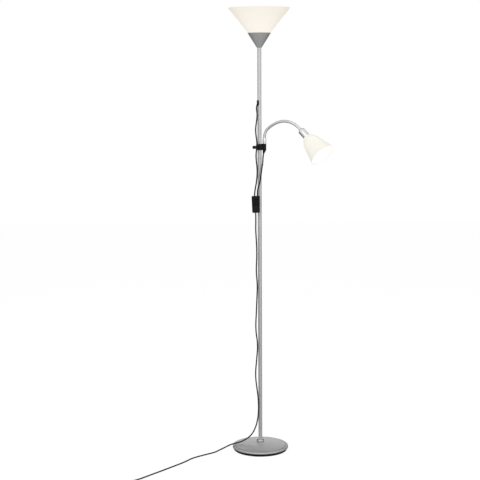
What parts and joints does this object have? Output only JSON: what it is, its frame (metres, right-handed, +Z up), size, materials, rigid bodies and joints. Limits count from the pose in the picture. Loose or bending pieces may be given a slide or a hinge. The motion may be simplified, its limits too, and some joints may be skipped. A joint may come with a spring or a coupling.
{
  "type": "floor lamp",
  "caption": "Torchiere floor lamp with an upward cone shade, a bell-shaped reading light on a flexible neck clamped to the pole, a round weighted base and an in-line double switch.",
  "frame": {"origin": "on the floor under the pole's axis, at the middle of the base's underside", "axes": "+Z up the pole, the reading light reaches towards +X and a little towards -Y, where the viewer of the front stands"},
  "size_m": [0.8745, 0.6622, 1.8013],
  "materials": {
    "silver_paint": "satin",
    "chrome": "polished",
    "neck_silver": "satin",
    "black_plastic": "fine grain",
    "rocker_plastic": "smooth",
    "cord_sheath": "smooth",
    "opal": "opal, lit",
    "bulb_glass": "opal",
    "bulb_metal": "plain",
    "holder_plastic": "smooth",
    "zinc_steel": "zinc plated",
    "weight": "rough",
    "contacts": "plain"
  },
  "bodies": {
    "stand": {"base_tray": "black_plastic", "base_cover": "silver_paint", "base_weight": "weight", "tray_screws": "zinc_steel", "base_washer": "zinc_steel", "base_nut": "zinc_steel", "base_stud": "zinc_steel", "base_collar": "silver_paint", "pole_foot_bush": "zinc_steel", "pole_top_bush": "zinc_steel", "pole_section_1": "silver_paint", "pole_section_2": "silver_paint", "pole_section_3": "silver_paint", "pole_section_4": "silver_paint", "pole_couplers": "zinc_steel", "cord_grommet": "black_plastic", "pole_lead": "cord_sheath", "top_nipple": "zinc_steel", "top_nipple_nut": "zinc_steel", "top_cup": "silver_paint", "top_lampholder": "holder_plastic", "top_shade": "opal", "top_shade_ring": "holder_plastic", "top_bulb_cap": "bulb_metal", "top_bulb_glass": "bulb_glass", "switch_front_shell": "black_plastic", "switch_back_shell": "black_plastic", "switch_screws": "zinc_steel", "rocker_pins": "zinc_steel", "switch_contacts": "contacts", "upper_cord": "cord_sheath", "reading_cord": "cord_sheath", "mains_cord": "cord_sheath", "mains_coil": "cord_sheath", "plug_body": "black_plastic", "plug_pins": "chrome"},
    "liner": {"clamp_liner": "black_plastic"},
    "clamp": {"clamp_body": "black_plastic", "clamp_grub_screw": "zinc_steel", "clamp_insert": "contacts", "clamp_pad": "black_plastic", "lead_bush": "black_plastic"},
    "knob": {"clamp_knob": "black_plastic", "clamp_screw": "zinc_steel"},
    "arm": {"arm_ferrule": "chrome", "neck_segment_1": "neck_silver"},
    "neck_2": {"neck_segment_2": "neck_silver"},
    "neck_3": {"neck_segment_3": "neck_silver"},
    "neck_4": {"neck_segment_4": "neck_silver"},
    "head": {"neck_segment_5": "neck_silver", "head_cap": "chrome", "head_nipple": "zinc_steel", "head_nut": "zinc_steel", "head_lampholder": "holder_plastic", "head_shade": "opal", "head_shade_ring": "holder_plastic", "head_bulb_cap": "bulb_metal", "head_bulb_glass": "bulb_glass"},
    "rocker_left": {"rocker_left": "rocker_plastic"},
    "rocker_right": {"rocker_right": "rocker_plastic"}
  },
  "joints": [
    {"name": "clamp_slide", "type": "slide", "parent": "stand", "child": "liner", "axis": [0, 0, 1], "range_m": [-0.1, 0.05], "deforming": ["reading_cord"]},
    {"name": "clamp_swivel", "type": "hinge", "parent": "liner", "child": "clamp", "pos_m": [0, 0, 1.2515], "axis": [0, 0, 1], "range_deg": [-25, 10]},
    {"name": "knob_turn", "type": "hinge", "parent": "clamp", "child": "knob", "pos_m": [-0.022, 0, 1.25], "axis": [-1, 0, 0], "range_deg": [0, 360]},
    {"name": "arm_swivel", "type": "hinge", "parent": "clamp", "child": "arm", "pos_m": [0.0197, 0, 1.2642], "axis": [0, 0, 1], "range_deg": [-60, 60]},
    {"name": "neck_bend_1", "type": "hinge", "parent": "arm", "child": "neck_2", "pos_m": [0.03445, -0.01153, 1.32556], "axis": [-0.6157, -0.788, 0], "range_deg": [-10, 20]},
    {"name": "neck_bend_2", "type": "hinge", "parent": "neck_2", "child": "neck_3", "pos_m": [0.0642, -0.03477, 1.34692], "axis": [-0.6157, -0.788, 0], "range_deg": [-10, 20]},
    {"name": "neck_bend_3", "type": "hinge", "parent": "neck_3", "child": "neck_4", "pos_m": [0.09761, -0.06087, 1.35554], "axis": [-0.6157, -0.788, 0], "range_deg": [-10, 20]},
    {"name": "neck_bend_4", "type": "hinge", "parent": "neck_4", "child": "head", "pos_m": [0.13101, -0.08697, 1.3473], "axis": [-0.6157, -0.788, 0], "range_deg": [-10, 20]},
    {"name": "rocker_left_press", "type": "hinge", "parent": "stand", "child": "rocker_left", "pos_m": [-0.0227, -0.0277, 1.02685], "axis": [0.9942, 0, 0.108], "range_deg": [-14, 0]},
    {"name": "rocker_right_press", "type": "hinge", "parent": "stand", "child": "rocker_right", "pos_m": [-0.00891, -0.0277, 1.02714], "axis": [0.9978, 0, -0.0663], "range_deg": [-14, 0]}
  ]
}
